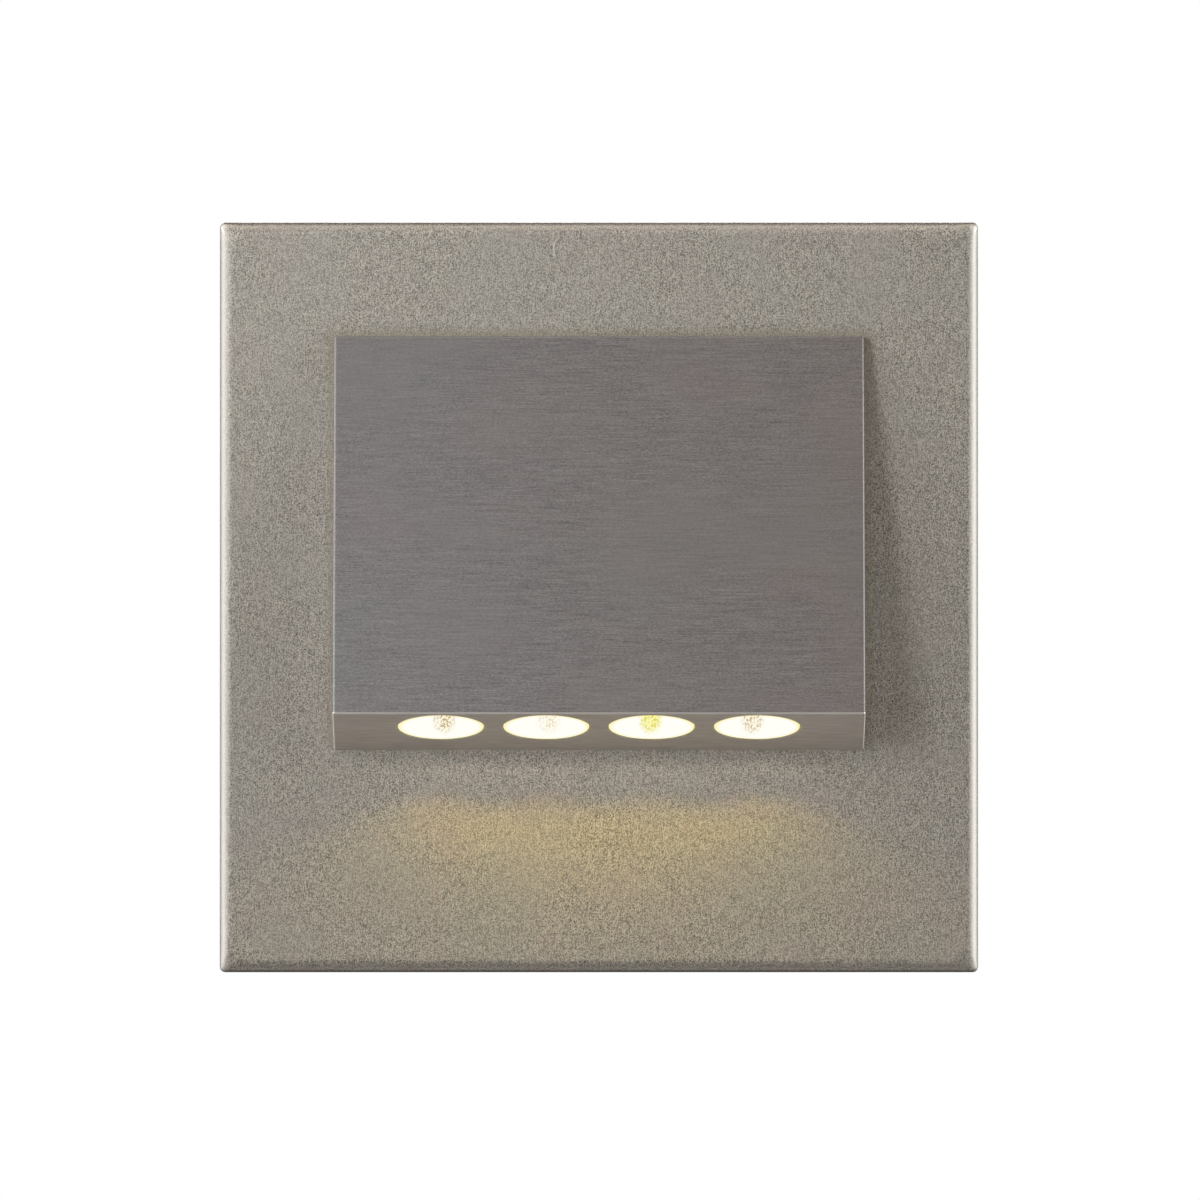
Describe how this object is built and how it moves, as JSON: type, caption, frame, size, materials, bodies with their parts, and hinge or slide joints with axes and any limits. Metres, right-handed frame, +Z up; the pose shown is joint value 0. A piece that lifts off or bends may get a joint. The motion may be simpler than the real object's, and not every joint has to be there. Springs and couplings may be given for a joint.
{
  "type": "recessed step light",
  "caption": "Square brushed-steel step light with a wedge hood that lights the face below, a round housing and sprung wing clips behind the panel.",
  "frame": {"origin": "where the axis of the housing and its centring collar crosses the wall's surface, in the plane of the face's folded rear rim", "axes": "+Z up, +Y into the wall along the housing's axis, +X to the right seen from the front"},
  "size_m": [0.12, 0.0808, 0.1186],
  "materials": {
    "brushed_face": "bead-grained and brushed upright",
    "brushed_hood": "fine brushing from side to side",
    "zinc_steel": "zinc plated",
    "clear_window": "clear, polished",
    "black_rubber": "moulded",
    "foam_gasket": "closed-cell foam",
    "mirror_reflector": "metallised",
    "led_phosphor": "silicone dome over phosphor",
    "white_board": "white solder mask on aluminium",
    "thermal_pad": "soft silicone",
    "bare_aluminium": "mill finish",
    "cast_housing": "die-cast, matt",
    "green_board": "solder mask",
    "ferrite": "sintered ferrite",
    "capacitor_can": "sleeved can",
    "chip_black": "moulded",
    "terminal_green": "moulded",
    "connector_white": "moulded",
    "lead_red": "insulated wire",
    "lead_black": "insulated wire",
    "nickel_brass": "nickel plated",
    "clip_steel": "stamped stainless",
    "spring_steel": "drawn wire"
  },
  "bodies": {
    "light_body": {"face_plate": "brushed_face", "hood": "brushed_hood", "weld_studs": "zinc_steel", "flange_washers": "zinc_steel", "flange_nuts": "zinc_steel", "bracket_nuts": "zinc_steel", "led_board_screws": "zinc_steel", "driver_screws": "zinc_steel", "clip_screws": "zinc_steel", "terminal_screws": "zinc_steel", "board_standoffs": "zinc_steel", "aperture_window": "clear_window", "aperture_seal": "black_rubber", "housing_gasket": "black_rubber", "gland_ring": "black_rubber", "gland_seal": "black_rubber", "wall_gasket": "foam_gasket", "reflector_1": "mirror_reflector", "reflector_2": "mirror_reflector", "reflector_3": "mirror_reflector", "reflector_4": "mirror_reflector", "led_emitter_1": "led_phosphor", "led_emitter_2": "led_phosphor", "led_emitter_3": "led_phosphor", "led_emitter_4": "led_phosphor", "led_board": "white_board", "thermal_pad": "thermal_pad", "heat_bracket": "bare_aluminium", "housing_flange": "cast_housing", "housing": "cast_housing", "housing_back": "cast_housing", "driver_board": "green_board", "driver_inductor": "ferrite", "driver_capacitors": "capacitor_can", "driver_chip": "chip_black", "terminal_block": "terminal_green", "lead_connector": "connector_white", "lamp_lead_positive": "lead_red", "lamp_lead_negative": "lead_black", "gland_body": "nickel_brass", "gland_locknut": "nickel_brass", "gland_cap": "nickel_brass", "clip_bracket_right": "clip_steel", "clip_bracket_left": "clip_steel", "clip_pin_right": "clip_steel", "clip_pin_left": "clip_steel", "clip_spring_right": "spring_steel", "clip_spring_left": "spring_steel"},
    "right_wing": {"clip_arm_right": "clip_steel", "clip_sleeve_right": "black_rubber"},
    "left_wing": {"clip_arm_left": "clip_steel", "clip_sleeve_left": "black_rubber"}
  },
  "joints": [
    {"name": "right_wing_hinge", "type": "hinge", "parent": "light_body", "child": "right_wing", "pos_m": [0.0448, 0.014, 0], "axis": [0, 0, 1], "range_deg": [0, 115], "stiffness_Nm_per_rad": 0.03, "springref_deg": -20.05, "deforming": ["clip_spring_right"]},
    {"name": "left_wing_hinge", "type": "hinge", "parent": "light_body", "child": "left_wing", "pos_m": [-0.0448, 0.014, 0], "axis": [0, 0, -1], "range_deg": [0, 115], "stiffness_Nm_per_rad": 0.03, "springref_deg": -20.05, "deforming": ["clip_spring_left"]}
  ]
}
